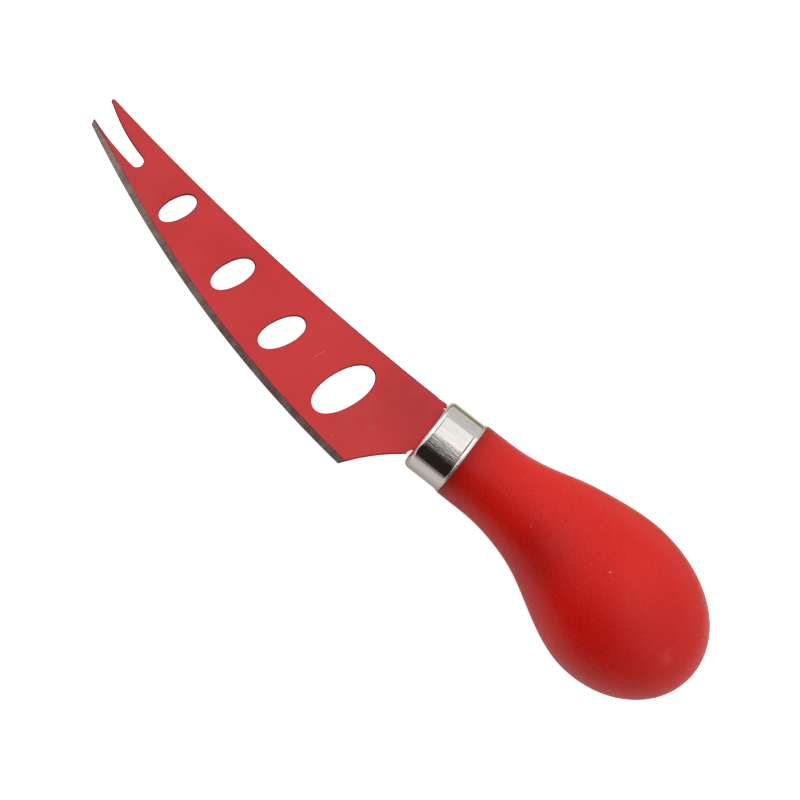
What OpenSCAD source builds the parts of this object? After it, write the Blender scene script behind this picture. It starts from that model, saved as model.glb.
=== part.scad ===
// Cheese knife with a forked tip, oval windows in the blade and a pear-shaped handle.
// The blade lies level: +X runs to the tip, +Y to the cutting edge and +Z straight up.
// The origin is under the middle of the knife, at the height of the handle's underside.
// Inside the modules x is counted from the ferrule's front face, y and z from the axis.

/* [Blade] */
// Reach of the blade in front of the ferrule
blade_len = 118.2; // [105:0.1:130]
// Thickness of the blade over its coating
blade_t = 1.5; // [1.2:0.05:2]
// Thickness of the coating on each face
coat_t = 0.04; // [0.02:0.01:0.08]
// Height of the spine over the axis where it leaves the ferrule
spine_root_h = 8.8; // [7.5:0.1:9]
// Height of the spine over the axis at the upper prong
spine_tip_h = 18.3; // [16.5:0.1:21]
// How far the spine is hollowed between its ends
spine_bow = 2.3; // [1:0.05:3.5]
// Distance of the heel from the ferrule
heel_x = 13.2; // [10:0.1:16]
// Depth of the heel under the axis
heel_drop = 21; // [18:0.1:24]
// How far the cutting edge bulges between heel and tip
edge_bow = 4.8; // [3.5:0.1:6]
// Width of the ground bevel on each face
bevel_w = 1.85; // [1.2:0.05:2.4]
// Thickness left at the cutting edge
edge_land = 0.25; // [0.15:0.05:0.4]
// Distance of the lower root corner from the ferrule
root_gap = 0.8; // [0.6:0.05:2]
// Depth of the lower root corner under the axis
root_drop = 8.05; // [7:0.05:10]
// How far the heel's sweep is hollowed
sweep_bow = 0.75; // [0.3:0.05:1.5]
// How far the step at the lower root corner is hollowed
step_bow = 0.3; // [0.1:0.05:0.5]
// Clearance between the blade's shoulder and the ferrule
shoulder_gap = 0.02; // [0.01:0.01:0.2]
// Size of the nick at the upper root corner
root_nick = 0.4; // [0.2:0.1:0.8]
// Width of the small relief under the upper root corner
relief_w = 0.6; // [0.3:0.1:1]

/* [Fork] */
// Distance of the slot's floor from the tip
fork_depth = 17; // [13:0.1:19]
// Width of the slot at its floor
slot_w = 3.4; // [2.6:0.05:3.8]
// Tilt of the slot towards the spine
slot_tilt = 11; // [5:1:16]
// Height of the lower prong's tip over the axis
edge_tip_h = 9.3; // [8.6:0.1:10]
// How far the upper prong stops short of the lower one
upper_prong_back = 0.7; // [0.2:0.1:2]
// Width of the upper prong at its tip
upper_tip_w = 1.25; // [0.6:0.05:1.6]
// Width of the lower prong at its tip
lower_tip_w = 1.75; // [1:0.05:2.2]
// How far the upper prong's inner side bulges
upper_prong_bow = 0.75; // [0.3:0.05:1.2]
// How far the lower prong's inner side is hollowed
lower_prong_bow = 0.45; // [0.2:0.05:0.8]

/* [Tang] */
// Length of the tang behind the ferrule's front face
tang_len = 54; // [40:0.5:65]
// Width of the tang in the ferrule
tang_w = 12; // [9:0.1:13]
// Width of the tang at its end
tang_end_w = 8; // [6:0.1:9]
// Diameter of the bonding holes in the tang
tang_hole_d = 4; // [3:0.1:4.5]

/* [Ferrule] */
// Diameter of the ferrule
ferrule_d = 21; // [20:0.1:23]
// Length of the ferrule
ferrule_len = 11.6; // [9:0.1:16]
// Wall of the ferrule
ferrule_wall = 0.7; // [0.5:0.05:0.9]
// Radius of the ferrule's front shoulder
shoulder_r = 1.6; // [1.2:0.05:2]
// Length of the flared rim at the rear
rim_len = 1.6; // [0.8:0.05:2]
// How far the rim stands out
rim_out = 0.35; // [0.2:0.05:0.6]

/* [Handle] */
// Length of the handle behind the ferrule
handle_len = 81.5; // [74:0.1:95]
// Widest width of the bulb, across the blade
bulb_w = 44.4; // [38:0.1:50]
// Thickness of the bulb
bulb_t = 38; // [32:0.1:46]
// Distance of the widest place from the butt
bulb_from_butt = 28; // [22:0.1:32]
// Length of the straight neck behind the ferrule
neck_len = 6.9; // [2:0.1:9]
// How far the butt is set over towards the cutting edge
butt_offset = 6.6; // [3:0.1:9]
// Distance from the ferrule to where the handle starts to bend
bend_from = 24; // [16:0.5:30]
// Thickness of the soft skin on the bulb
skin_t = 2.4; // [1.8:0.1:3.5]
// How far the neck stands out beyond the ferrule's rim
neck_step = 0.1; // [0:0.05:0.3]
// Width of the core's shoulder that the ferrule's rear edge seats on
core_shoulder = 0.3; // [0.2:0.05:0.5]

/* [Fits] */
// Clearance between spigot and ferrule
spigot_gap = 0.05; // [0.02:0.01:0.1]
// Clearance between the spigot's end and the ferrule's front wall
seat_gap = 0.2; // [0.1:0.05:0.4]
// Clearance of the tang in the ferrule's slot
slot_gap = 0.1; // [0.05:0.05:0.2]
// Thickness of the bond round the tang
bond_gap = 0.6; // [0.4:0.05:1]

/* [Hidden] */

// Overrun of every cut past the face it opens
overrun = 1;
// Places of the windows, from root to tip: along the blade, across it, and their length
// as shares of the blade's reach and of its depth there, then their tilt in degrees
window_shares = [
    [0.2027, 0.487, 0.64, 69],
    [0.3862, 0.51, 0.515, 64],
    [0.5507, 0.467, 0.55, 67],
    [0.7354, 0.456, 0.6, 67]
];
// Places of the bonding holes as shares of the tang's length behind the ferrule
tang_hole_shares = [0.38, 0.76];
// Width of a window as a share of its length, and how square its oval is
window_slim_share = 0.5;
window_square_share = 2.15;
// Place of the slot's floor across the blade, as a share of its depth there
slot_across_share = 0.508;
// How the bulb swells from the neck, how square the butt is, and how the bend eases off
swell_share = 1.12;
butt_square_share = 2.03;
bend_ease_share = 0.4;
// Steps of the arcs, of a window, and of the handle round and along
arc_steps = 32;
corner_steps = 8;
window_steps = 48;
round_steps = 48;
neck_steps = 20;
dome_steps = 12;
skin_inner_step = 2;
// Facets of a full turn for the bevel's cone and for the turned pieces
bevel_fn = 1440;
turned_fn = 96;

ferrule_r = ferrule_d / 2;
bore_r = ferrule_r - ferrule_wall;
rim_r = ferrule_r + rim_out;
spigot_r = bore_r - spigot_gap;
spigot_end_x = -ferrule_wall - seat_gap;
neck_r = rim_r + neck_step;
butt_x = -ferrule_len - handle_len;
widest_x = butt_x + bulb_from_butt;
tang_t = blade_t - 2 * coat_t;
tang_end_x = -tang_len;

function mix(a, b, k) = a + (b - a) * k;
function smooth(k) = k * k * (3 - 2 * k);
function left_of(d) = [-d[1], d[0]];

// Half the angle of the arc from p to q that bulges to the left by bow
function arc_half(p, q, bow) = 2 * atan(2 * bow / norm(q - p));
function arc_r(p, q, bow) = norm(q - p) / 2 / sin(arc_half(p, q, bow));
function arc_centre(p, q, bow) =
    (p + q) / 2 - left_of(q - p) / norm(q - p) * arc_r(p, q, bow) * cos(arc_half(p, q, bow));
function arc(p, q, bow, steps) =
    let (half = arc_half(p, q, bow), r = arc_r(p, q, bow), c = arc_centre(p, q, bow),
        along = (q - p) / norm(q - p), up = left_of(along))
    [for (k = [0:steps]) let (a = mix(-half, half, k / steps))
        c + along * r * sin(a) + up * r * cos(a)];

// Corners of the blade, in the order of its outline
spine_root = [shoulder_gap + root_nick, -spine_root_h];
spine_tip = [blade_len - upper_prong_back, -spine_tip_h];
upper_tip = spine_tip + upper_tip_w * [-sin(slot_tilt), cos(slot_tilt)];
edge_tip = [blade_len, -edge_tip_h];
lower_tip = edge_tip + lower_tip_w * [sin(slot_tilt), -cos(slot_tilt)];
heel = [heel_x, heel_drop];
sweep_root = [root_gap, root_drop];
relief_y = root_nick + relief_w - spine_root_h;

// Height of the spine and of the edge at a place x along the blade
spine_c = arc_centre(spine_root, spine_tip, spine_bow);
spine_r = arc_r(spine_root, spine_tip, spine_bow);
edge_c = arc_centre(heel, edge_tip, edge_bow);
edge_r = abs(arc_r(heel, edge_tip, edge_bow));
function spine_y(x) = spine_c[1] + sqrt(spine_r * spine_r - pow(x - spine_c[0], 2));
function edge_y(x) = edge_c[1] + sqrt(edge_r * edge_r - pow(x - edge_c[0], 2));
function across(x, share) = [x, mix(spine_y(x), edge_y(x), share)];

// The slot's floor is a half circle square to the slot
slot_c = across(blade_len - fork_depth + slot_w / 2, slot_across_share);
slot_side = slot_w / 2 * [sin(slot_tilt), cos(slot_tilt)];

blade_outline = concat(
    arc(spine_root, spine_tip, spine_bow, arc_steps),
    arc(spine_tip, upper_tip, -upper_tip_w / 2, corner_steps),
    arc(upper_tip, slot_c - slot_side, -upper_prong_bow, arc_steps),
    arc(slot_c - slot_side, slot_c + slot_side, slot_w / 2, corner_steps * 2),
    arc(slot_c + slot_side, lower_tip, lower_prong_bow, arc_steps),
    arc(edge_tip, heel, -edge_bow, arc_steps * 2),
    arc(heel, sweep_root, sweep_bow, arc_steps),
    arc(sweep_root, [shoulder_gap, tang_w / 2], step_bow, corner_steps),
    arc([shoulder_gap, relief_y + relief_w], [shoulder_gap, relief_y], relief_w / 2, corner_steps),
    [[shoulder_gap, root_nick - spine_root_h]]
);

function window(at) =
    let (c = across(at[0] * blade_len, at[1]),
        long_r = at[2] / 2 * (edge_y(c[0]) - spine_y(c[0])), slim_r = long_r * window_slim_share)
    [for (k = [0:window_steps - 1]) let (a = 360 * k / window_steps,
        u = long_r * sign(cos(a)) * pow(abs(cos(a)), 2 / window_square_share),
        v = slim_r * sign(sin(a)) * pow(abs(sin(a)), 2 / window_square_share))
        c + [u * cos(at[3]) - v * sin(at[3]), u * sin(at[3]) + v * cos(at[3])]];

// The tang's outline, wider all round by grow, from x_front back to its end
function tang_half(x) = mix(tang_w, tang_end_w, -x / tang_len) / 2;
function tang_outline(x_front, grow) = [
    [x_front, -tang_half(min(x_front, 0)) - grow],
    [x_front, tang_half(min(x_front, 0)) + grow],
    [0, tang_half(0) + grow],
    [tang_end_x - grow, tang_half(tang_end_x) + grow],
    [tang_end_x - grow, -tang_half(tang_end_x) - grow],
    [0, -tang_half(0) - grow]
];

// Stations of the pear from the neck to near the butt: [x, middle y, half width, half thickness]
function middle_y(x) =
    let (k = max(0, (x + ferrule_len + bend_from) / (butt_x + ferrule_len + bend_from)))
    butt_offset * k * k * (1 + pow(bend_ease_share, 2)) / (k * k + pow(bend_ease_share, 2));
function swell(k) = smooth(pow(k, swell_share));
function dome(k) = pow(1 - pow(k, butt_square_share), 1 / butt_square_share);
function pear(r, half_w, half_t, end_x, step) = concat(
    [[-ferrule_len, 0, r, r]],
    [for (k = [0:step:neck_steps]) let (s = swell(k / neck_steps))
        let (x = mix(-ferrule_len - neck_len, widest_x, k / neck_steps))
        [x, middle_y(x), mix(r, half_w, s), mix(r, half_t, s)]],
    [for (k = [step:step:dome_steps - 1]) let (a = 90 * k / dome_steps)
        let (x = mix(widest_x, end_x, sin(a)), d = dome(sin(a)))
        [x, middle_y(x), half_w * d, half_t * d]]
);
skin_stations = pear(neck_r, bulb_w / 2, bulb_t / 2, butt_x, 1);
core_stations = pear(spigot_r + core_shoulder, bulb_w / 2 - skin_t, bulb_t / 2 - skin_t, butt_x + skin_t,
    skin_inner_step);

function pear_points(stations, end_x) = concat(
    [for (s = stations) for (k = [0:round_steps - 1]) let (a = 360 * k / round_steps)
        [s[0], s[1] + s[2] * cos(a), s[3] * sin(a)]],
    [[end_x, middle_y(end_x), 0]]
);
function turned_over(faces, flip) = flip ? [for (f = faces) [f[2], f[1], f[0]]] : faces;
// Triangles of the pear's wall, from point number first on, with the butt closed
function wall_faces(first, rings, flip) = turned_over(concat(
    [for (i = [0:rings - 2]) for (k = [0:round_steps - 1])
        let (a = first + i * round_steps, n = (k + 1) % round_steps)
        each [[a + k, a + round_steps + k, a + n], [a + n, a + round_steps + k, a + round_steps + n]]],
    [for (k = [0:round_steps - 1])
        let (a = first + (rings - 1) * round_steps)
        [a + k, a + round_steps, a + (k + 1) % round_steps]]
), flip);
core_points = pear_points(core_stations, butt_x + skin_t);
skin_points = pear_points(skin_stations, butt_x);

// The middle of the knife's outline and the height of its underside give the origin
all_x = [for (p = blade_outline) p[0]];
all_y = concat([for (p = blade_outline) p[1]], [for (p = skin_points) p[1]]);
box_mid = [(butt_x + max(all_x)) / 2, (min(all_y) + max(all_y)) / 2];
under_z = min([for (p = skin_points) p[2]]);

module in_place() {
    translate([-box_mid[0], -box_mid[1], -under_z]) children();
}

module slab(thickness) {
    translate([0, 0, -thickness / 2]) linear_extrude(thickness) children();
}

// One wedge cut off along the cutting edge: a cone about the centre of the edge's arc
module grind_wedge() {
    slope = (blade_t - edge_land) / 2 / bevel_w;
    tip_turn = atan2(edge_tip[1] - edge_c[1], edge_tip[0] - edge_c[0]);
    heel_turn = atan2(heel[1] - edge_c[1], heel[0] - edge_c[0]);
    spare_turn = atan(bevel_w / edge_r);
    translate([edge_c[0], edge_c[1], 0])
        rotate([0, 0, tip_turn - spare_turn])
            rotate_extrude(angle = heel_turn - tip_turn + 2 * spare_turn, $fn = bevel_fn)
                polygon([
                    [edge_r - bevel_w - overrun, blade_t / 2 + overrun * slope],
                    [edge_r + overrun, edge_land / 2 - overrun * slope],
                    [edge_r + overrun, blade_t / 2 + overrun * slope]
                ]);
}

module tang_slab(thickness, x_front, grow) {
    slab(thickness) polygon(tang_outline(x_front, grow));
}

module tang_holes() {
    for (share = tang_hole_shares)
        translate([mix(-ferrule_len, tang_end_x, share), 0, 0])
            cylinder(d = tang_hole_d, h = blade_t + 2 * overrun, center = true, $fn = turned_fn);
}

// Stamped, coated blade with its ground edge, fork, windows and tang
module blade() {
    color([0.77, 0.24, 0.25]) in_place() union() {
        difference() {
            slab(blade_t) difference() {
                polygon(blade_outline);
                for (at = window_shares)
                    polygon(window(at));
            }
            grind_wedge();
            mirror([0, 0, 1]) grind_wedge();
        }
        difference() {
            tang_slab(tang_t, root_gap, 0);
            tang_holes();
        }
    }
}

// Drawn metal cup with a round shoulder, a flared rim and a slot for the tang
module ferrule() {
    in_r = shoulder_r - ferrule_wall;
    sag_share = 1 - sin(45);
    color([0.8, 0.8, 0.8]) in_place() difference() {
        rotate([0, 90, 0]) rotate_extrude($fn = turned_fn) polygon(concat(
            [[0, 0]],
            arc([ferrule_r - shoulder_r, 0], [ferrule_r, -shoulder_r], shoulder_r * sag_share, corner_steps),
            arc([ferrule_r, rim_len - ferrule_len], [rim_r, rim_len / 3 - ferrule_len],
                -rim_out / 4, corner_steps),
            [[rim_r, -ferrule_len], [bore_r, -ferrule_len]],
            arc([bore_r, -shoulder_r], [bore_r - in_r, -ferrule_wall], -in_r * sag_share, corner_steps),
            [[0, -ferrule_wall]]
        ));
        tang_slab(tang_t + 2 * slot_gap, overrun, slot_gap);
    }
}

// Spigot that carries the ferrule, with its front edge broken to clear the shoulder
module spigot() {
    edge = shoulder_r - ferrule_wall + seat_gap;
    rotate([0, 90, 0]) rotate_extrude($fn = turned_fn) polygon([
        [0, spigot_end_x],
        [spigot_r - edge, spigot_end_x],
        [spigot_r, spigot_end_x - edge],
        [spigot_r, -ferrule_len - overrun],
        [0, -ferrule_len - overrun]
    ]);
}

// Hard moulded core: the pear under the skin, the spigot and the socket for the tang
module handle_core() {
    rings = len(core_stations);
    color([0.25, 0.25, 0.27]) in_place() difference() {
        union() {
            polyhedron(core_points, concat(
                [[for (k = [round_steps - 1:-1:0]) k]],
                wall_faces(0, rings, true)
            ));
            spigot();
        }
        tang_slab(tang_t + 2 * bond_gap, spigot_end_x + overrun, bond_gap);
    }
}

// Soft skin moulded over the core, open at the neck where the ferrule meets it
module handle_skin() {
    outer = len(skin_stations);
    inner = len(core_stations);
    first = len(skin_points);
    color([0.75, 0.12, 0.1]) in_place() polyhedron(concat(skin_points, core_points), concat(
        wall_faces(0, outer, true),
        wall_faces(first, inner, false),
        [for (k = [0:round_steps - 1]) let (n = (k + 1) % round_steps)
            each [[n, k, first + n], [k, first + k, first + n]]]
    ));
}

// Resin that fills the socket round the tang and through its holes
module tang_bond() {
    color([0.85, 0.75, 0.5]) in_place() difference() {
        tang_slab(tang_t + 2 * bond_gap, spigot_end_x, bond_gap);
        difference() {
            tang_slab(tang_t, overrun, 0);
            tang_holes();
        }
    }
}

blade();
ferrule();
handle_core();
handle_skin();
tang_bond();
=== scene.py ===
from math import cos, hypot, pi, radians, sin

import bpy
from mathutils import Matrix, Vector


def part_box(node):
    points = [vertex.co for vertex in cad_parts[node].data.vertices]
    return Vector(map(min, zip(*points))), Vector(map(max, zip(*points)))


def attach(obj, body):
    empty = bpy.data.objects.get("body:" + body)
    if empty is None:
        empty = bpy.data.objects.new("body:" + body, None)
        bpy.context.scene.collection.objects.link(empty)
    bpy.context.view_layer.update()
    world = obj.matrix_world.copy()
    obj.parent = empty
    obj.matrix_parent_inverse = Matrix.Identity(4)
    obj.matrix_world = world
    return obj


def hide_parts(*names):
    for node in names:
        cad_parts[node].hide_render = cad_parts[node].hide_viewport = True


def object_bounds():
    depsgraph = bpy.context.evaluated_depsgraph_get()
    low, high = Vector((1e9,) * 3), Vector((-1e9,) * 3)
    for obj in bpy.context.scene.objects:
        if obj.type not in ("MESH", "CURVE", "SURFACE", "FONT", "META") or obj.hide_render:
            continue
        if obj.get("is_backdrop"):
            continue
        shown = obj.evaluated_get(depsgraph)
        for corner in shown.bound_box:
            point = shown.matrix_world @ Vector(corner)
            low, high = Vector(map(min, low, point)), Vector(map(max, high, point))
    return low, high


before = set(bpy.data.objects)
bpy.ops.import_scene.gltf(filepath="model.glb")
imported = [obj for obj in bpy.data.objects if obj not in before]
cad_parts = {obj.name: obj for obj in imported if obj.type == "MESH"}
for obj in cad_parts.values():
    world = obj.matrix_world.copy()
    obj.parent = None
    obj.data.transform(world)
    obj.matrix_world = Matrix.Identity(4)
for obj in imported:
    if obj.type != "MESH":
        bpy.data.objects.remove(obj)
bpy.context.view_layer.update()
mm = 0.001

# The blade: one stamping of 1.5 mm stainless sheet, with its windows, fork and tang in it.
# It is coated red all over, and then ground along the cutting edge on both faces, which
# takes the coating off and bares the steel.
blade_low, blade_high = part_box("blade")
ferrule_low, ferrule_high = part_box("ferrule")
blade_z = (blade_low.z + blade_high.z) / 2
front_x = ferrule_high.x
axis_y = (ferrule_low.y + ferrule_high.y) / 2
weld = 0.002 * mm
flat_within = radians(0.05)
land_half = 0.13 * mm
bevel_w = 1.78 * mm
edge_break = 0.2 * mm
root_len = 1.4 * mm
stamped_corner = radians(75)
# How level a face lies is the height of its normal: 1 on a broad face, 0 on a wall. One
# that turns to the spine has its normal's y under to_spine
grind_level = (0.9, 0.99)
wall_level = 0.5
upright_level = 0.1
to_spine = -0.2
# The line between the spine's margin and the windows: its place at the root, and its slope
margin_y = -5.5 * mm
margin_slope = -0.08


def bench_copy(node, name):
    """A merged copy of a node's mesh, with its flat faces made whole again."""
    bpy.ops.object.select_all(action="DESELECT")
    piece = bpy.data.objects.new(name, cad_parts[node].data.copy())
    bpy.context.scene.collection.objects.link(piece)
    piece.data.materials.clear()
    bpy.context.view_layer.objects.active = piece
    piece.select_set(True)
    bpy.ops.object.mode_set(mode="EDIT")
    bpy.ops.mesh.select_all(action="SELECT")
    bpy.ops.mesh.remove_doubles(threshold=weld)
    bpy.ops.mesh.customdata_custom_splitnormals_clear()
    bpy.ops.mesh.dissolve_limited(angle_limit=flat_within)
    bpy.ops.object.mode_set(mode="OBJECT")
    return piece


def pick(piece, kind, wanted):
    """Selects the faces or edges that wanted() says yes to, and goes to edit mode."""
    bpy.ops.object.mode_set(mode="EDIT")
    bpy.ops.mesh.select_mode(type=kind)
    bpy.ops.mesh.select_all(action="DESELECT")
    bpy.ops.object.mode_set(mode="OBJECT")
    for part in piece.data.edges if kind == "EDGE" else piece.data.polygons:
        part.select = wanted(part)
    bpy.ops.object.mode_set(mode="EDIT")


def ends_of(piece, edge):
    """The places of an edge's two ends."""
    return [piece.data.vertices[k].co for k in edge.vertices]


def even_shading(piece, angle):
    """Smooths what turns by less than angle, in degrees, and keeps the broad faces flat."""
    bpy.ops.object.mode_set(mode="OBJECT")
    bpy.ops.object.shade_smooth_by_angle(angle=radians(angle), keep_sharp_edges=True)
    weights = piece.modifiers.new("weights", "WEIGHTED_NORMAL")
    weights.keep_sharp = True
    bpy.ops.object.modifier_apply(modifier=weights.name)


class Wire:
    """One socket of a finish. A sum of wires is written as a sum, which adds its node."""

    def __init__(self, tree, socket=None):
        self.tree = tree
        self.socket = socket

    def add(self, kind, settings, inputs, out=0):
        """Adds a node, makes its settings, then fills or links its sockets."""
        node = self.tree.nodes.new("ShaderNode" + kind)
        for name, value in settings.items():
            setattr(node, name, value)
        for name, value in inputs.items():
            if isinstance(value, Wire):
                self.tree.links.new(value.socket, node.inputs[name])
            else:
                node.inputs[name].default_value = value
        return Wire(self.tree, node.outputs[out] if node.outputs else None)

    def math(self, operation, *values):
        """Adds a Math node on the values."""
        return self.add("Math", {"operation": operation}, dict(enumerate(values)))

    def __add__(self, other):
        return self.math("ADD", self, other)

    def __sub__(self, other):
        return self.math("SUBTRACT", self, other)

    def __rsub__(self, other):
        return self.math("SUBTRACT", other, self)

    def __mul__(self, other):
        return self.math("MULTIPLY", self, other)

    __radd__ = __add__
    __rmul__ = __mul__

    def vector(self, operation, *values, out=0):
        """Adds a Vector Math node on the values."""
        return self.add("VectorMath", {"operation": operation}, dict(enumerate(values)), out)

    def fade(self, low, high, to_low=0.0, to_high=1.0):
        """Runs smoothly from to_low at low to to_high at high."""
        return self.add(
            "MapRange",
            {"interpolation_type": "SMOOTHSTEP"},
            {"Value": self, "From Min": low, "From Max": high, "To Min": to_low, "To Max": to_high},
        )

    def noise(self, size, detail=2.0, stretch=(1, 1, 1), roughness=0.5):
        """Cloudy noise whose lumps are about size across, drawn out by stretch."""
        at = self.vector("MULTIPLY", self, [1 / s for s in stretch])
        return self.add(
            "TexNoise",
            {},
            {"Vector": at, "Scale": 1 / size, "Detail": detail, "Roughness": roughness},
        )

    def blend(self, first, second):
        """A colour between first and second, by this wire."""
        return self.add("Mix", {"data_type": "RGBA"}, {0: self, 6: first, 7: second}, out=2)

    def axes(self):
        """The three numbers of a place, as three wires."""
        split = self.add("SeparateXYZ", {}, {0: self})
        return [Wire(self.tree, output) for output in split.socket.node.outputs]

    def spot(self, place, radius, soft):
        """1 inside a round spot about a place, fading to 0 over its soft rim."""
        away = self.vector("DISTANCE", self, place, out=1)
        return away.fade(radius + soft, radius - soft)

    def scratch(self, start, end, width):
        """1 along the line from start to end, fading to 0 at its sides."""
        along = Vector(end) - Vector(start)
        per_length = (along / along.length_squared)[:]
        from_start = self.vector("SUBTRACT", self, start)
        share = from_start.vector("DOT_PRODUCT", from_start, per_length, out=1)
        clamped = share.math("MINIMUM", share.math("MAXIMUM", share, 0), 1)
        foot = self.add("CombineXYZ", {}, {k: clamped * along[k] for k in range(3)})
        return foot.vector("DISTANCE", foot, from_start, out=1).fade(width, width / 4)


def new_finish(name):
    """A material, a wire on its Object coordinates, and its shader node."""
    material = bpy.data.materials.new(name)
    material.use_nodes = True
    tree = material.node_tree
    shader = tree.nodes["Principled BSDF"]
    here = Wire(tree).add("TexCoord", {}, {}, out=3)
    return material, here, shader


def wire_up(shader, height=None, **values):
    """Fills or links a shader's sockets. The height, in metres, goes through a Bump node."""
    if height is not None:
        values["Normal"] = height.add("Bump", {}, {"Distance": 1.0, "Height": height})
    for name, value in values.items():
        socket = shader.inputs[name.replace("_", " ")]
        if isinstance(value, Wire):
            value.tree.links.new(value.socket, socket)
        else:
            socket.default_value = value


blade = bench_copy("blade", "coated_blade")

# The grind bares the sloping band and the land at the edge itself. The walls that the
# stamping sheared get a darker red than the broad faces, as painted shade
COATED, PAINTED_SHADE, GROUND = range(3)
for face in blade.data.polygons:
    corners = [blade.data.vertices[k].co for k in face.vertices]
    level = abs(face.normal.z)
    sloping = grind_level[0] < level < grind_level[1]
    in_land = all(abs(c.z - blade_z) < land_half for c in corners)
    if sloping or in_land:
        face.material_index = GROUND
    elif level < wall_level:
        face.material_index = PAINTED_SHADE

# Three points on the land give the centre of the edge's arc
land = [v.co.copy() for v in blade.data.vertices if abs(v.co.z - blade_z) < land_half]
land = sorted((c for c in land if c.x > front_x + root_len), key=lambda c: c.x)


def circle_through(a, b, c):
    """Centre of the circle through three points in the XY plane."""
    d = 2 * (a.x * (b.y - c.y) + b.x * (c.y - a.y) + c.x * (a.y - b.y))
    aa, bb, cc = (p.x * p.x + p.y * p.y for p in (a, b, c))
    x = (aa * (b.y - c.y) + bb * (c.y - a.y) + cc * (a.y - b.y)) / d
    y = (aa * (c.x - b.x) + bb * (a.x - c.x) + cc * (b.x - a.x)) / d
    return Vector((x, y, blade_z))


edge_centre = circle_through(land[0], land[len(land) // 2], land[-1])
edge_r = (land[0].xy - edge_centre.xy).length

# The grind leaves a crisp line on the coating, and every stamped edge is lightly broken
pick(blade, "FACE", lambda face: face.material_index == GROUND)
bpy.ops.mesh.region_to_loop()
bpy.ops.mesh.mark_sharp()
bpy.ops.mesh.select_mode(type="EDGE")
bpy.ops.mesh.select_all(action="DESELECT")
bpy.ops.mesh.edges_select_sharp(sharpness=stamped_corner)
bpy.ops.object.mode_set(mode="OBJECT")
broken = {
    edge.index
    for edge in blade.data.edges
    if edge.select and all(c.x > front_x + root_len for c in ends_of(blade, edge))
}
# A slot for each finish, filled at the end of this section
for slot in (COATED, PAINTED_SHADE, GROUND):
    blade.data.materials.append(None)
pick(blade, "EDGE", lambda edge: edge.index in broken)
# The broken edges take the walls' darker red too: painted shade
bpy.ops.mesh.bevel(offset=edge_break, segments=3, clamp_overlap=False, material=PAINTED_SHADE)
even_shading(blade, 40)

# The walls that turn to the spine, towards the light, keep the faces' coat and no painted
# shade. In the windows and the fork, past the spine's margin, so do the broken edges that turn that
# way
for face in blade.data.polygons:
    margin = axis_y + margin_y + margin_slope * (face.center.x - front_x)
    in_opening = face.center.y > margin and face.material_index == PAINTED_SHADE
    upright = abs(face.normal.z) < upright_level
    if face.normal.y < to_spine and (upright or in_opening):
        face.material_index = COATED
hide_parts("blade")
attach(blade, "root")


def on_face(x, y):
    """A place on the blade's upper face, in mm from the ferrule's front and the axis."""
    return front_x + x * mm, axis_y + y * mm, blade_high.z


def coating():
    """Baked red coating: faintly grained, worn dull near the ferrule, with its own marks."""
    deep_red = (0.61, 0.0155, 0.0175, 1)
    light_red = (0.735, 0.0385, 0.041, 1)
    tip_red = (0.6, 0.036, 0.041, 1)
    highlight_red = (0.745, 0.033, 0.0345, 1)
    dulled_red = (0.45, 0.022, 0.0235, 1)
    rubbed_red = (0.58, 0.055, 0.058, 1)
    scratch_pink = (0.72, 0.19, 0.17, 1)
    chip_brown = (0.2, 0.03, 0.03, 1)
    nick_pink = (0.75, 0.3, 0.28, 1)
    material, here, shader = new_finish("red_coating")
    cloud = here.noise(14 * mm, 3.0)
    grain = here.noise(0.28 * mm, 2.0)
    flecks = here.noise(0.2 * mm, 1.0).fade(0.33, 0.67)
    mottle = cloud.fade(0.3, 0.7) * 0.35 + flecks * 0.65
    red = mottle.blend(deep_red, light_red)
    tipward = here.axes()[0].fade(blade_high.x - 45 * mm, blade_high.x - 8 * mm, 0, 0.6)
    red = tipward.blend(red, tip_red)
    # A painted highlight lightens the middle of the blade and a patch by the root on the cutting
    # edge's side
    clear = here.spot(on_face(38, 3), 12 * mm, 20 * mm) + here.spot(on_face(10, 13), 3 * mm, 5 * mm)
    red = (clear * 0.7).blend(red, highlight_red)
    # Handling has dulled it near the ferrule and rubbed it by the heel
    patches = here.noise(5 * mm, 5.0, stretch=(1, 1.6, 1), roughness=0.66)
    dull = patches.fade(0.25, 0.66) * here.spot(on_face(9.5, -4.5), 6 * mm, 9 * mm)
    dulled = (dull * 0.85).blend(red, dulled_red)
    rubs = here.noise(1.6 * mm, 5.0, stretch=(1.8, 1, 1), roughness=0.68).fade(0.4, 0.68)
    rubbed = rubs * here.spot(on_face(15.5, 9), 6 * mm, 5 * mm)
    greyed = (rubbed * 0.75).blend(dulled, rubbed_red)
    # A pale scratch, tears and chips that show dark, and a bright nick by the edge
    scratch = here.scratch(on_face(35.0, 2.8), on_face(33.9, 0.0), 0.12 * mm)
    scored = (scratch * 0.85).blend(greyed, scratch_pink)
    long_tear = here.scratch(on_face(26.1, -2.2), on_face(24.5, -2.75), 0.11 * mm)
    short_tear = here.scratch(on_face(25.3, -2.75), on_face(23.6, -3.55), 0.13 * mm)
    chip = here.spot(on_face(57.1, -0.5), 0.16 * mm, 0.1 * mm)
    small_chip = here.spot(on_face(10.5, 13), 0.14 * mm, 0.1 * mm)
    dark = chip + small_chip + long_tear + short_tear
    marked = (dark * 0.7).blend(scored, chip_brown)
    nick = here.scratch(on_face(18.8, 16.0), on_face(19.2, 16.3), 0.14 * mm)
    nicked = (nick * 0.4).blend(marked, nick_pink)
    wire_up(
        shader,
        height=grain * (0.016 * mm) + rubbed * (0.004 * mm) - (scratch + nick) * (0.02 * mm),
        Base_Color=nicked,
        Roughness=cloud.fade(0.3, 0.7, 0.38, 0.46) + (dull + rubbed) * 0.06,
        Specular_IOR_Level=0.46,
    )
    return material


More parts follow.
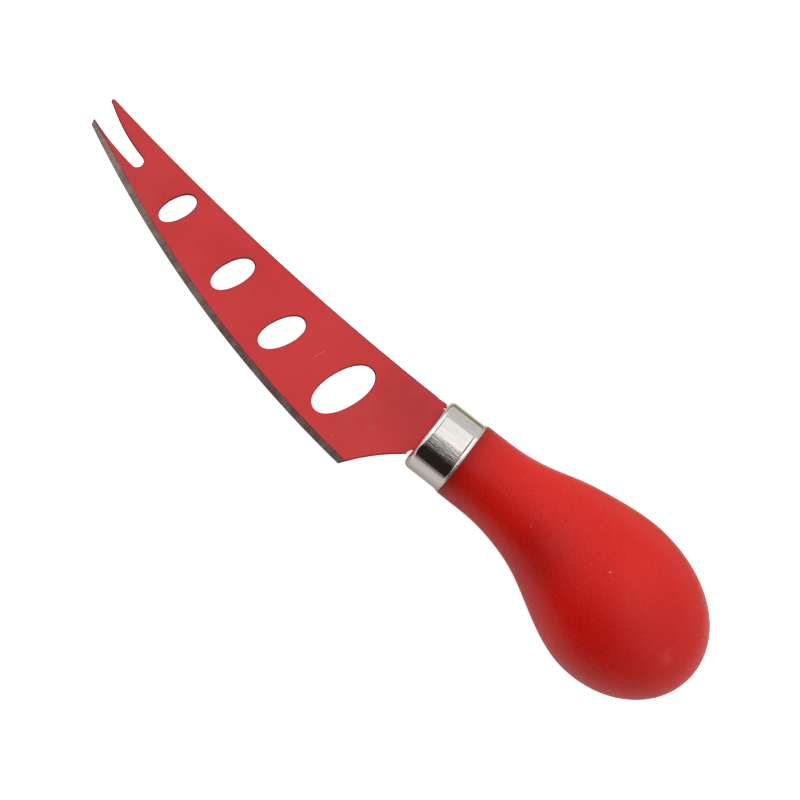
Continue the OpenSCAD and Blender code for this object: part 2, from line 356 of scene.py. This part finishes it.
def painted_shade_coating():
    """The same coating, painted darker as shade on the sheared walls and broken edges."""
    deep_shade_red = (0.08, 0.004, 0.005, 1)
    pale_shade_red = (0.16, 0.006, 0.008, 1)
    material, here, shader = new_finish("painted_shade_coating")
    tears = here.noise(0.2 * mm, 3.0, stretch=(1, 1, 5))
    wire_up(
        shader,
        height=tears * (0.012 * mm),
        Base_Color=tears.fade(0.3, 0.7).blend(deep_shade_red, pale_shade_red),
        Roughness=0.5,
        Specular_IOR_Level=0.2,
    )
    return material


def ground_steel():
    """Bare steel with the grinder's streaks across the edge. The grind narrows at the tip."""
    heel_dark = (0.25, 0.178, 0.155, 1)
    heel_light = (0.455, 0.33, 0.285, 1)
    tip_dark = (0.29, 0.21, 0.178, 1)
    tip_light = (0.5, 0.37, 0.325, 1)
    burnt_brown = (0.05, 0.032, 0.028, 1)
    coat_red = (0.55, 0.013, 0.014, 1)
    material, here, shader = new_finish("ground_steel")
    centred = here.vector("SUBTRACT", here, edge_centre[:])
    x, y, z = centred.axes()
    turn = x.math("ARCTAN2", y, x)
    radius = centred.vector("LENGTH", centred, out=1)
    on_grind = here.add("CombineXYZ", {}, {0: turn * edge_r, 1: radius, 2: z})
    streaks = on_grind.noise(0.2 * mm, 3.0, stretch=(1, 10, 10))
    patches = on_grind.noise(4 * mm, 3.0)
    bare = (streaks * 0.7 + patches * 0.3).fade(0.36, 0.64)
    along = here.axes()[0]
    at_heel = bare.blend(heel_dark, heel_light)
    at_tip = bare.blend(tip_dark, tip_light)
    steel = along.fade(front_x + 10 * mm, blade_high.x - 8 * mm).blend(at_heel, at_tip)
    # Depth into the grind from the line where the coating ends. At the tip the line runs in
    narrowing = along.fade(blade_high.x - 13 * mm, blade_high.x + 2 * mm, 0, 0.6 * mm)
    depth = radius - narrowing - (edge_r - bevel_w)
    left_red = depth.fade(0.04 * mm, -0.04 * mm)
    # Burnt coating darkens the inner line, and the grinder's burr the outer one
    inner_line = depth.fade(0.34 * mm, 0.1 * mm)
    outer_line = (streaks * depth.fade(1.45 * mm, 1.75 * mm)).fade(0.4, 0.6)
    burr = inner_line + outer_line * 0.6
    edged = (burr * 0.3).blend(steel, burnt_brown)
    wire_up(
        shader,
        height=streaks * (0.02 * mm),
        Base_Color=left_red.blend(edged, coat_red),
        Metallic=1 - left_red,
        Roughness=patches.fade(0.3, 0.7, 0.34, 0.46),
    )
    return material


for k, finish in enumerate((coating, painted_shade_coating, ground_steel)):
    blade.data.materials[k] = finish()

# The bond: epoxy poured into the core's socket, where it set round the tang and through
# the tang's two holes. It is hidden unless the knife comes apart.
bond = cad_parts["tang_bond"]


def cured_resin():
    """Amber resin, cloudy, with small pores where bubbles were."""
    pale_amber = (0.62, 0.47, 0.22, 1)
    deep_amber = (0.48, 0.33, 0.13, 1)
    material, here, shader = new_finish("cured_resin")
    cloud = here.noise(3 * mm, 4.0)
    bubbles = here.add("TexVoronoi", {}, {"Vector": here, "Scale": 1 / (1.2 * mm)})
    pores = bubbles.fade(0.12, 0.05)
    wire_up(
        shader,
        height=cloud * (0.03 * mm) - pores * (0.05 * mm),
        Base_Color=cloud.blend(pale_amber, deep_amber),
        Roughness=cloud.fade(0.3, 0.7, 0.3, 0.5),
    )
    return material


bond.data.materials.clear()
bond.data.materials.append(cured_resin())

# The ferrule: a cup drawn from 0.7 mm sheet and bright plated, with a round front shoulder,
# a slot for the tang in its front wall, and a lightly flared rim against the handle.
ferrule_wall = 0.7 * mm
shoulder_r = 1.6 * mm
rim_len = 1.6 * mm
rim_out = 0.35 * mm
slot_gap = 0.1 * mm
tang_w = 12 * mm
tang_t = 1.42 * mm
rim_r = (ferrule_high.z - ferrule_low.z) / 2
barrel_r = rim_r - rim_out
bore_r = barrel_r - ferrule_wall
rear_x = ferrule_low.x
rim_break = 0.3 * mm
rim_band = 0.1 * mm
axis_z = (ferrule_low.z + ferrule_high.z) / 2
turned_sides = 160


def on_axis(x):
    """The place on the handle's axis at x."""
    return Vector((x, axis_y, axis_z))


def off_axis(point):
    """How far a place lies from the axis."""
    return hypot(point.y - axis_y, point.z - axis_z)


def ring_at(piece, x, beyond):
    """A test for the edges that lie at x, further than beyond from the axis."""

    def wanted(edge):
        return all(abs(c.x - x) < 5 * weld and off_axis(c) > beyond for c in ends_of(piece, edge))

    return wanted


def push(step, scale):
    """Extrudes the selected end by step along X and opens it out by scale about the axis."""
    bpy.ops.mesh.extrude_region_move(TRANSFORM_OT_translate={"value": (step, 0, 0)})
    bpy.ops.transform.resize(value=(1, scale, scale), center_override=on_axis(rear_x))


bpy.ops.object.select_all(action="DESELECT")
barrel_len = front_x - rear_x - rim_len
bpy.ops.mesh.primitive_cylinder_add(
    vertices=turned_sides,
    radius=barrel_r,
    depth=barrel_len,
    location=on_axis(front_x - barrel_len / 2),
    rotation=(0, pi / 2, 0),
)
ferrule = bpy.context.active_object
ferrule.name = "plated_ferrule"
bpy.ops.object.transform_apply(location=True, rotation=True, scale=True)

# The rear end is opened out in short steps into the flare, then hollowed to the bore
pick(ferrule, "FACE", lambda face: face.normal.x < -0.9)
flare_steps = 6
flare_len = rim_len * 2 / 3
step_turn = pi / 2 / flare_steps
last_r = barrel_r
for k in range(1, flare_steps + 1):
    turn = k * step_turn
    next_r = barrel_r + rim_out * (1 - cos(turn))
    push(-flare_len * (sin(turn) - sin(turn - step_turn)), next_r / last_r)
    last_r = next_r
push(flare_len - rim_len, 1)
bpy.ops.mesh.inset(thickness=rim_r - bore_r)
bpy.ops.mesh.extrude_region_move(
    TRANSFORM_OT_translate={"value": (front_x - rear_x - ferrule_wall, 0, 0)}
)
bpy.ops.mesh.region_to_loop()
bpy.ops.mesh.bevel(offset=shoulder_r - ferrule_wall, segments=6)

# The front edge is drawn round, and the rim's edges are lightly broken
pick(ferrule, "EDGE", ring_at(ferrule, front_x, bore_r))
bpy.ops.mesh.bevel(offset=shoulder_r, segments=14)
pick(ferrule, "EDGE", ring_at(ferrule, rear_x, rim_r - rim_band))
bpy.ops.mesh.bevel(offset=rim_break, segments=6)
bpy.ops.object.mode_set(mode="OBJECT")

# The slot is pierced with a punch as wide as the tang and its clearance
bpy.ops.object.select_all(action="DESELECT")
bpy.ops.mesh.primitive_cube_add(size=1, location=on_axis(front_x))
punch = bpy.context.active_object
punch.scale = (4 * ferrule_wall, tang_w + 2 * slot_gap, tang_t + 2 * slot_gap)
bpy.ops.object.transform_apply(location=True, rotation=True, scale=True)
bpy.ops.object.select_all(action="DESELECT")
bpy.context.view_layer.objects.active = ferrule
ferrule.select_set(True)
pierce = ferrule.modifiers.new("pierce", "BOOLEAN")
pierce.object = punch
pierce.operation = "DIFFERENCE"
pierce.solver = "EXACT"
bpy.ops.object.modifier_apply(modifier=pierce.name)
bpy.data.objects.remove(punch)
even_shading(ferrule, 35)
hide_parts("ferrule")
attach(ferrule, "root")


def bright_plate():
    """Bright plating that still shows the long streaks of the drawing and polishing."""
    worn_grey = (0.63, 0.6, 0.56, 1)
    clean_grey = (0.76, 0.735, 0.7, 1)
    tarnish_grey = (0.66, 0.615, 0.555, 1)
    material, here, shader = new_finish("bright_plate")
    centred = here.vector("SUBTRACT", here, on_axis(0)[:])
    y, z = centred.axes()[1:]
    drawn = here.noise(0.36 * mm, 3.0, stretch=(9, 1, 1), roughness=0.6)
    fine = here.noise(0.2 * mm, 2.0, stretch=(60, 1, 1))
    cloud = here.noise(4 * mm, 3.0)
    # The streaks are deepest along the top, a little over to the cutting edge
    turn = y.math("ARCTAN2", y, z)
    deep = turn.fade(-0.04, 0.1) * turn.fade(0.6, 0.4)
    clean = (drawn * 0.2 + fine * 0.6 + cloud * 0.2).fade(0.36, 0.64)
    bright = clean.blend(worn_grey, clean_grey)
    tarnish = turn.fade(0.7, 1.1) * cloud.fade(0.2, 0.6, 0.5, 1)
    wire_up(
        shader,
        height=drawn * (deep * (0.13 * mm) + 0.002 * mm) + fine * (0.0008 * mm),
        Base_Color=tarnish.blend(bright, tarnish_grey),
        Metallic=1.0,
        Roughness=cloud.fade(0.3, 0.7, 0.07, 0.13),
    )
    return material


ferrule.data.materials.clear()
ferrule.data.materials.append(bright_plate())

# The core: hard moulded plastic, with the spigot that carries the ferrule and the socket
# that the tang is bonded into. Only its front end shows when the ferrule is off.
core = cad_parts["handle_core"]


def moulded_core():
    """Charcoal plastic with the fine grain of its mould."""
    charcoal = (0.055, 0.055, 0.06, 1)
    pale_charcoal = (0.075, 0.073, 0.075, 1)
    material, here, shader = new_finish("moulded_core")
    cloud = here.noise(8 * mm, 3.0)
    grain = here.noise(0.3 * mm, 2.0)
    wire_up(
        shader,
        height=grain * (0.01 * mm),
        Base_Color=cloud.blend(charcoal, pale_charcoal),
        Roughness=grain.fade(0.3, 0.7, 0.42, 0.55),
    )
    return material


core.data.materials.clear()
core.data.materials.append(moulded_core())

# The skin: soft rubber moulded over the core to a pear, with a satin, faintly grained
# face. Its front edge closes round the ferrule's rim.
neck_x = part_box("handle_skin")[1].x
neck_break = 0.3 * mm
skin = bench_copy("handle_skin", "soft_handle")
bpy.ops.object.mode_set(mode="EDIT")
bpy.ops.mesh.select_all(action="SELECT")
bpy.ops.mesh.tris_convert_to_quads(face_threshold=radians(60), shape_threshold=radians(80))
pick(skin, "EDGE", ring_at(skin, neck_x, rim_r))
bpy.ops.mesh.bevel(offset=neck_break, segments=4)
bpy.ops.object.mode_set(mode="OBJECT")
smooth = skin.modifiers.new("smooth", "SUBSURF")
smooth.levels = 2
smooth.render_levels = 2
bpy.ops.object.modifier_apply(modifier=smooth.name)
bpy.ops.object.shade_smooth_by_angle(angle=radians(50))
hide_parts("handle_skin")
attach(skin, "root")


def in_handle(x, y, z):
    """A place by the handle, in mm from the ferrule's front on the axis."""
    return (on_axis(front_x) + Vector((x, y, z)) * mm)[:]


def soft_rubber():
    """Soft red rubber with a fine eggshell grain and the odd speck moulded into it."""
    deep_red = (0.65, 0.001, 0.0005, 1)
    light_red = (0.735, 0.018, 0.01, 1)
    bulb_highlight_red = (1, 0.03, 0.02, 1)
    shade_black = (0.01, 0.001, 0.001, 1)
    sheen_pink = (0.9, 0.1, 0.085, 1)
    speck_brown = (0.3, 0.012, 0.012, 1)
    speck_white = (0.85, 0.55, 0.5, 1)
    material, here, shader = new_finish("soft_rubber")
    cloud = here.noise(9 * mm, 3.0)
    grain = here.noise(0.3 * mm, 2.0)
    ripple = here.noise(1.3 * mm, 2.0)
    pits = here.noise(0.16 * mm, 1.0).fade(0.33, 0.67)
    mottle = cloud * 0.2 + pits * 0.8
    red = mottle.fade(0.15, 0.85).blend(deep_red, light_red)
    # Painted shade darkens it towards the ferrule and on the side towards the cutting edge, and
    # a painted highlight lightens the top of the bulb
    x = here.axes()[0]
    neck_shade = x.fade(neck_x - 13 * mm, neck_x) * 0.18 + x.fade(neck_x - 4 * mm, neck_x) * 0.26
    side_shade = here.spot(in_handle(-41.78, 11.85, 12), 7.5 * mm, 8.5 * mm) * 0.25
    bulb_highlight = here.spot(in_handle(-63.28, -0.55, 18), 6 * mm, 9 * mm) * 0.18
    highlighted_red = bulb_highlight.blend(red, bulb_highlight_red)
    shaded = (side_shade + neck_shade).blend(highlighted_red, shade_black)
    # A painted sheen by the butt, three dark specks, and a bright one with a pale curl
    sheen_patch = pits.fade(0.2, 0.8) * here.spot(in_handle(-83.28, 10.15, 14), 1.2 * mm, 2.4 * mm)
    sheened = (sheen_patch * 0.75).blend(shaded, sheen_pink)
    dark = (
        here.spot(in_handle(-41.7, -1.72, 14.28), 0.28 * mm, 0.16 * mm)
        + here.spot(in_handle(-42.81, 7.09, 13.54), 0.24 * mm, 0.14 * mm)
        + here.spot(in_handle(-85.52, 13.53, 11.47), 0.6 * mm, 0.3 * mm) * 0.35
    )
    specked = (dark * 0.8).blend(sheened, speck_brown)
    bright = here.spot(in_handle(-58.32, 2.38, 18.33), 0.16 * mm, 0.12 * mm)
    curl = here.scratch(in_handle(-35.58, 4.5, 12.23), in_handle(-35.98, 4.8, 12.1), 0.14 * mm)
    speckled = (bright + curl * 0.4).blend(specked, speck_white)
    wire_up(
        shader,
        height=grain * (0.08 * mm) + ripple * (0.012 * mm) + cloud * (0.03 * mm),
        Base_Color=speckled,
        Roughness=pits.fade(0.1, 0.9, 0.26, 0.36),
        Specular_IOR_Level=0.27,
    )
    return material


skin.data.materials.clear()
skin.data.materials.append(soft_rubber())

# The studio: a white table under two flat soft boxes in dark frames, pale walls round it,
# and a dark screen on the cutting edge's side. A strip and a grey sheet lie beyond the
# spine. The camera sees none of them but the table; the bright metal shows them all.
def show(material, surface):
    """Makes surface, a shader's wire, what the material shows."""
    outlet = material.node_tree.nodes["Material Output"]
    material.node_tree.links.new(surface.socket, outlet.inputs["Surface"])


def glowing(name, colour, strength):
    """The glow of a sheet. One that varies turns a little warm where it is weak."""
    warm = (1, 0.8, 0.7, 1)
    material, here, shader = new_finish(name)
    shade = (*colour, 1)
    level = strength(here) if callable(strength) else strength
    if isinstance(level, Wire):
        shade = level.fade(0, 0.8).blend(warm, shade)
    show(material, here.add("Emission", {}, {"Color": shade, "Strength": level}))
    return material


def sheet(name, finish, low, high):
    """A flat sheet of the studio, between two corners that agree along one axis."""
    low, high = Vector(low), Vector(high)
    span = high - low
    stands = (pi / 2 if span.y == 0 else 0, pi / 2 if span.x == 0 else 0, 0)
    bpy.ops.object.select_all(action="DESELECT")
    bpy.ops.mesh.primitive_plane_add(size=1, location=(low + high) / 2, rotation=stands)
    piece = bpy.context.active_object
    bpy.ops.object.transform_apply(location=False, rotation=True, scale=False)
    piece.scale = [side or 1 for side in span]
    bpy.ops.object.transform_apply(location=True, rotation=True, scale=True)
    piece.name = name
    piece.data.materials.append(finish)
    piece.visible_camera = False
    piece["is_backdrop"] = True
    return piece


def table_top():
    """White board, lifted to plain white for the camera and a little for the metal."""
    board_white = (0.86, 0.86, 0.86, 1)
    material, here, shader = new_finish("table_top")
    wire_up(shader, Base_Color=board_white, Roughness=0.9)
    camera_ray, glossy_ray, through_ray = (here.add("LightPath", {}, {}, out=k) for k in (0, 3, 6))
    y = here.axes()[1]
    towards_spine = y.fade(-0.02, 0.02, 0.08, 0)
    towards_edge = y.fade(0.02, 0.052, 0, 0.13) - y.fade(0.06, 0.16, 0, 0.07)
    shown = towards_spine + towards_edge
    level = camera_ray * 0.8 + glossy_ray * shown + through_ray * 0.3
    glow = here.add("Emission", {}, {"Color": (1, 1, 1, 1), "Strength": level})
    board = Wire(material.node_tree, shader.outputs[0])
    show(material, here.add("AddShader", {}, {0: board, 1: glow}))
    return material


def dying_glow(here):
    """The first box's light dies away towards the screen, sooner over the handle's neck."""
    x, y = here.axes()[:2]
    steeper = (y - 0.3) * x.fade(-0.075, -0.045, 1.3, 1.0) + 0.3
    sooner = x.fade(-0.075, -0.045, 0.2, 0.06) - x.fade(-0.6, -0.15, 0.6, 0)
    return (steeper + sooner).fade(-0.02, 0.6, box_glow, 0.03) * x.fade(-0.7, -0.1, 0.75, 1)


def inner_corner(here):
    """The second box is hottest by the seam, and dims at its corner towards the screen."""
    x, y = here.axes()[:2]
    hot = x.fade(0.95, 0.5) * y.fade(-0.6, -0.3) * y.fade(0.1, -0.12)
    return hot * 0.35 + 1.7 - x.fade(0.62, 0.38) * y.fade(-0.2, 0.32, 0, 1.65)


def screen_foot(here):
    """The paler foot of the dark screen is lightest past the handle."""
    return here.axes()[0].fade(-0.3, 0.25, 0.44, 0.12)


def open_end(here):
    """Past the handle the dark screen gives way to a paler one."""
    return here.axes()[0].fade(-0.5, -0.12, 0.4, 0.022)


white = (1, 1, 1)
yellowish = (1, 0.96, 0.5)
warm_white = (1, 0.97, 0.93)
box_glow = 1.22
box_z = 0.82
far_y = -1.88
near_y = 0.67
end_x = 1.1
seam_x = (0.065, 0.33)
frame_w = 0.12
frame_rise = 10 * mm
tip_box_short = 0.25
tip_wall_past = 0.4
screen_end_x = end_x - 0.1
foot_z = 90 * mm
wall_gap = 20 * mm
card_gap = 1 * mm
strip_y = (-60 * mm, -35.5 * mm)
table_half = 3
table = sheet("table", table_top(), (-table_half, -table_half, 0), (table_half, table_half, 0))
table.visible_camera = True
sheet(
    "box_over_handle",
    glowing("box_over_handle", white, dying_glow),
    (-end_x, far_y + frame_w, box_z),
    (seam_x[0], near_y, box_z),
)
sheet(
    "box_over_tip",
    glowing("box_over_tip", white, inner_corner),
    (seam_x[1], far_y + frame_w, box_z),
    (end_x, near_y - tip_box_short, box_z),
)
sheet(
    "box_frames",
    glowing("box_frames", white, 0.15),
    (-end_x, far_y, box_z + frame_rise),
    (end_x, near_y, box_z + frame_rise),
)
for name, level, low, high in (
    ("wall_beyond_tip", 1.6, (end_x, far_y, wall_gap), (end_x, near_y + tip_wall_past, box_z)),
    ("wall_beyond_butt", 0.8, (-end_x, far_y, wall_gap), (-end_x, near_y, box_z)),
    ("wall_beyond_spine", 0.76, (-end_x, far_y, wall_gap), (end_x, far_y, box_z)),
    ("dark_screen", open_end, (-end_x, near_y, foot_z), (screen_end_x, near_y, box_z)),
    ("screen_foot", screen_foot, (-end_x, near_y, card_gap), (screen_end_x, near_y, foot_z)),
):
    sheet(name, glowing(name, white, level), low, high)
for name, colour, level, low_y, high_y in (
    ("olive_strip", yellowish, 0.3, strip_y[0], strip_y[1]),
    ("grey_sheet", warm_white, 0.72, far_y, strip_y[0]),
):
    finish = glowing(name, colour, level)
    card = sheet(name, finish, (-end_x, low_y, card_gap), (end_x, high_y, card_gap))
    card.visible_diffuse = False
    card.visible_transmission = False
    card.visible_shadow = False

# The sky is plain white to the camera, and gives the rest a fainter, even light
world = bpy.data.worlds.new("studio")
bpy.context.scene.world = world
world.use_nodes = True
sky = Wire(world.node_tree)
camera_ray = sky.add("LightPath", {}, {}, out=0)
backdrop = world.node_tree.nodes["Background"]
backdrop.inputs["Color"].default_value = (1, 1, 1, 1)
world.node_tree.links.new((camera_ray * 0.4 + 0.6).socket, backdrop.inputs["Strength"])

# The camera looks down through a long lens, from a little towards the cutting edge. It is
# turned so that the knife lies aslant, and aimed a little past the ferrule's front.
past_front = Vector((10.683, -2.148, 0)) * mm
view_centre = on_axis(front_x) + past_front
view_width = 208 * mm
view_distance = 0.8
edge_tilt = radians(9)
knife_turn = radians(38)
sensor = 36.0
back = Vector((0, sin(edge_tilt), cos(edge_tilt)))
along = Vector((1, 0, 0))
over = back.cross(along)
right = -cos(knife_turn) * along - sin(knife_turn) * over
up = sin(knife_turn) * along - cos(knife_turn) * over
camera_data = bpy.data.cameras.new("camera")
camera_data.sensor_width = sensor
camera_data.lens = sensor * view_distance / view_width
camera = bpy.data.objects.new("camera", camera_data)
bpy.context.scene.collection.objects.link(camera)
camera.matrix_world = Matrix.Translation(view_centre + back * view_distance) @ Matrix(
    (right, up, back)
).transposed().to_4x4()
bpy.context.scene.camera = camera
bpy.context.scene.view_settings.view_transform = "Standard"

low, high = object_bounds()
